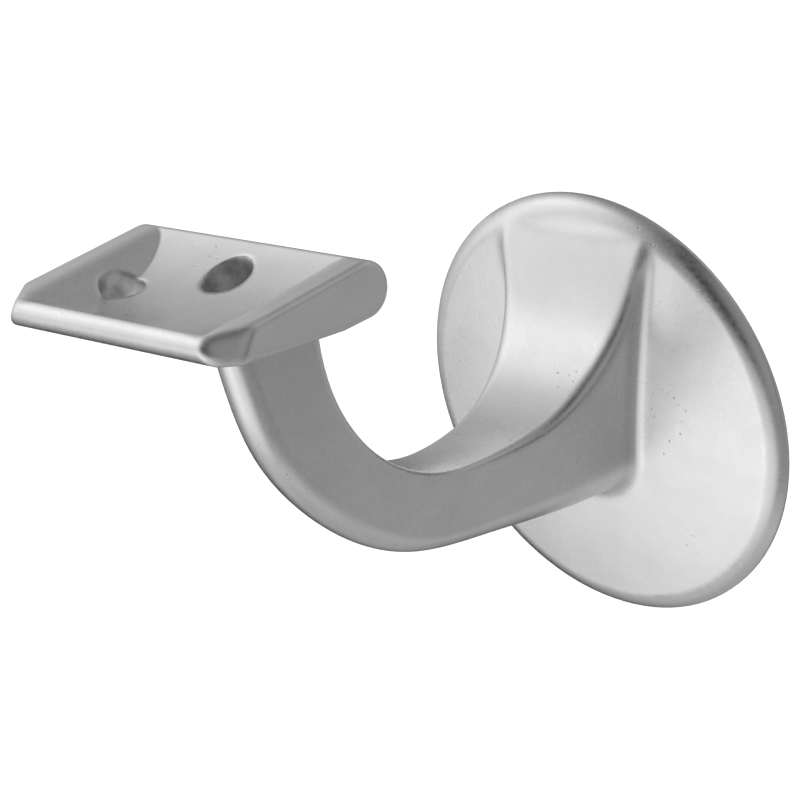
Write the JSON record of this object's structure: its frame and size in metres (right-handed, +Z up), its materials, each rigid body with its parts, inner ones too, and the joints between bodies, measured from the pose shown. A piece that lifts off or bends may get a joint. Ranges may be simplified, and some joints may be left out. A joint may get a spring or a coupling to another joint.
{
  "type": "handrail bracket",
  "caption": "Cast aluminium wall bracket for a handrail: round rose, swept arm and a dished saddle with screw holes.",
  "frame": {"origin": "centre of the rose's flat back, where it meets the wall", "axes": "+Y into the wall, +Z up, X along the rail; the arm stands out along -Y"},
  "size_m": [0.07, 0.0937, 0.0853],
  "materials": {
    "cast_aluminium": "satin"
  },
  "bodies": {
    "root": {"bracket_casting": "cast_aluminium"}
  },
  "joints": []
}
